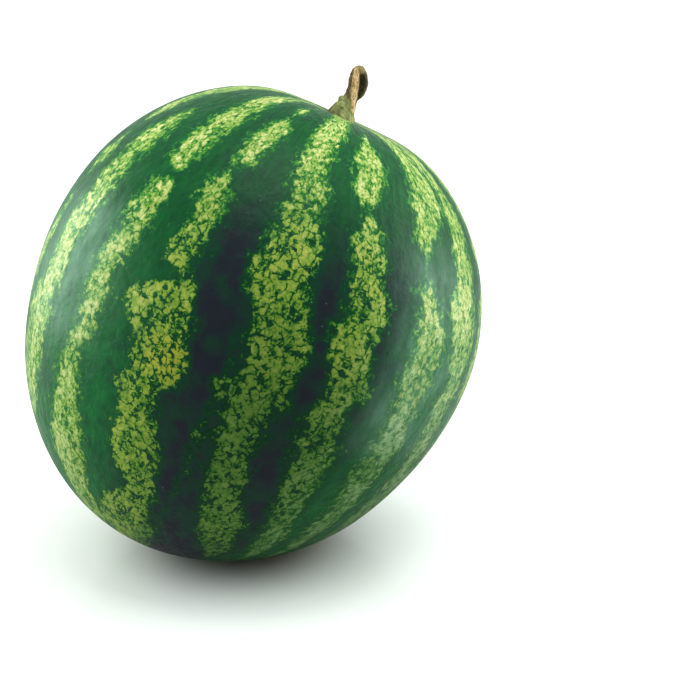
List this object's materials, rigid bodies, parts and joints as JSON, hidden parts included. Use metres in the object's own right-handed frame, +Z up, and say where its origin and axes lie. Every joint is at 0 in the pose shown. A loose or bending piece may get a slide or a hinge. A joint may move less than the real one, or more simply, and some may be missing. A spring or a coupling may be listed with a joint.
{
  "type": "watermelon",
  "caption": "Whole round striped watermelon with a dry stem stub, leaning a little to one side on a small flat resting spot.",
  "frame": {"origin": "on the ground plane, under the middle of the melon's box", "axes": "+Z up; +X to the right and +Y away from someone who faces the melon; the stem leans towards +X and a little towards +Y"},
  "size_m": [0.2601, 0.2578, 0.2765],
  "materials": {
    "rind": "smooth waxy rind, dark green with ragged yellow-green stripes from the stem to the blossom end",
    "stem": "dry ridged stalk, tan and olive brown, greener at its foot"
  },
  "bodies": {
    "root": {"fruit": "rind", "stem": "stem"}
  },
  "joints": []
}
